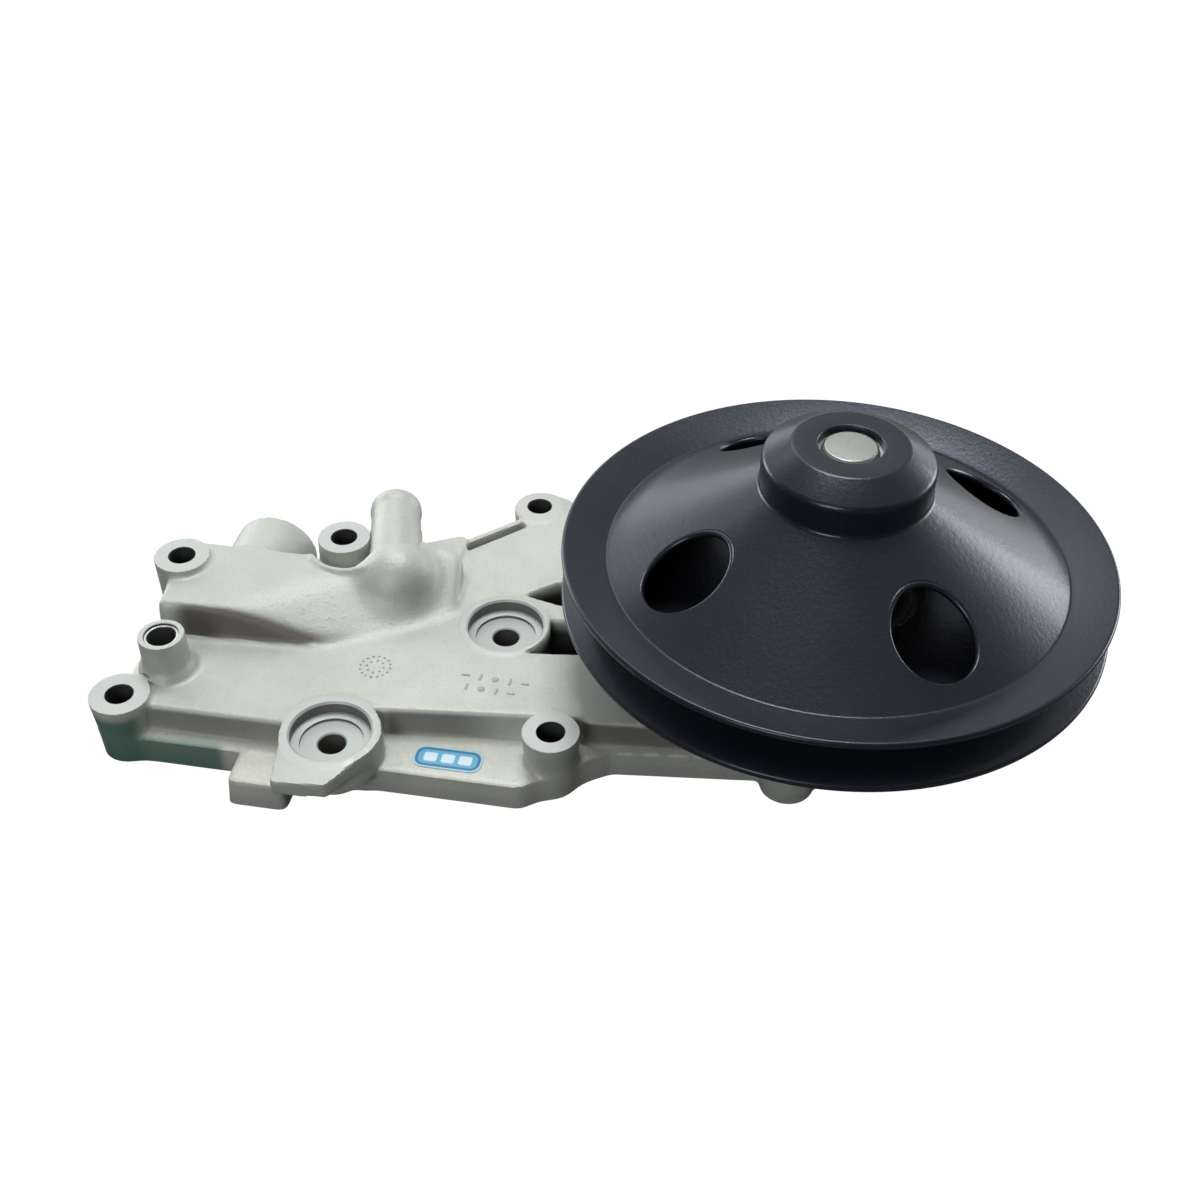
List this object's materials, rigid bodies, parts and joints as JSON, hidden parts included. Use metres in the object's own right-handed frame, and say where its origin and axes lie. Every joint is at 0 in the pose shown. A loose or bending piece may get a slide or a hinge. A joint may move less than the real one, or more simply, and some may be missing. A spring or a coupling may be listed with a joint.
{
  "type": "water pump",
  "caption": "Belt-driven engine coolant pump: flat cast housing with bolt bosses, hose spigot and outlet stub, and a black V-belt pulley on a sealed bearing.",
  "frame": {"origin": "shaft axis on the gasket plane", "axes": "+Z along the shaft, out through the pulley; +X along the casting's front edge, away from its outlets; +Y towards the outlets' open ends"},
  "size_m": [0.2929, 0.161, 0.0959],
  "materials": {
    "cast_aluminium": "as-cast, fine grit blasted",
    "black_paint": "semi-gloss, slight orange peel",
    "bright_steel": "machined",
    "bearing_steel": "ground",
    "seal_rubber": "matte",
    "seal_brass": "satin",
    "carbon": "lapped",
    "ceramic": "lapped",
    "cast_iron": "as-cast",
    "cage_plastic": "satin",
    "filter_plastic": "matte",
    "label_film": "printed film"
  },
  "bodies": {
    "root": {"pump_housing": "cast_aluminium", "hose_spigot": "cast_aluminium", "guide_sleeve": "bright_steel", "bearing_lock_screw": "bright_steel", "weep_hole_filter": "filter_plastic", "blank_label": "label_film", "bearing_outer_ring": "bearing_steel", "bearing_seal_pulley_side": "seal_rubber", "bearing_seal_impeller_side": "seal_rubber", "seal_cup": "seal_brass", "seal_bellows": "seal_rubber", "seal_spring": "bright_steel", "seal_drive_band": "bright_steel", "carbon_ring": "carbon"},
    "rotor": {"pump_shaft": "bearing_steel", "pulley_hub": "bright_steel", "pulley_shell": "black_paint", "groove_band": "black_paint", "pulley_lower_flange": "black_paint", "slinger": "seal_rubber", "seat_grommet": "seal_rubber", "ceramic_seat": "ceramic", "impeller": "cast_iron"},
    "balls_by_pulley": {"balls_pulley_side": "bearing_steel", "cage_pulley_side": "cage_plastic"},
    "balls_by_impeller": {"balls_impeller_side": "bearing_steel", "cage_impeller_side": "cage_plastic"}
  },
  "joints": [
    {"name": "pulley_spin", "type": "hinge", "parent": "root", "child": "rotor", "pos_m": [0, 0, 0.05], "axis": [0, 0, 1], "continuous": true},
    {"name": "balls_by_pulley_orbit", "type": "hinge", "parent": "root", "child": "balls_by_pulley", "pos_m": [0, 0, 0.055], "axis": [0, 0, 1], "continuous": true},
    {"name": "balls_by_impeller_orbit", "type": "hinge", "parent": "root", "child": "balls_by_impeller", "pos_m": [0, 0, 0.039], "axis": [0, 0, 1], "continuous": true}
  ],
  "couplings": [
    {"joint": "balls_by_pulley_orbit", "follows": "pulley_spin", "ratio": 0.3546},
    {"joint": "balls_by_impeller_orbit", "follows": "pulley_spin", "ratio": 0.3546}
  ]
}
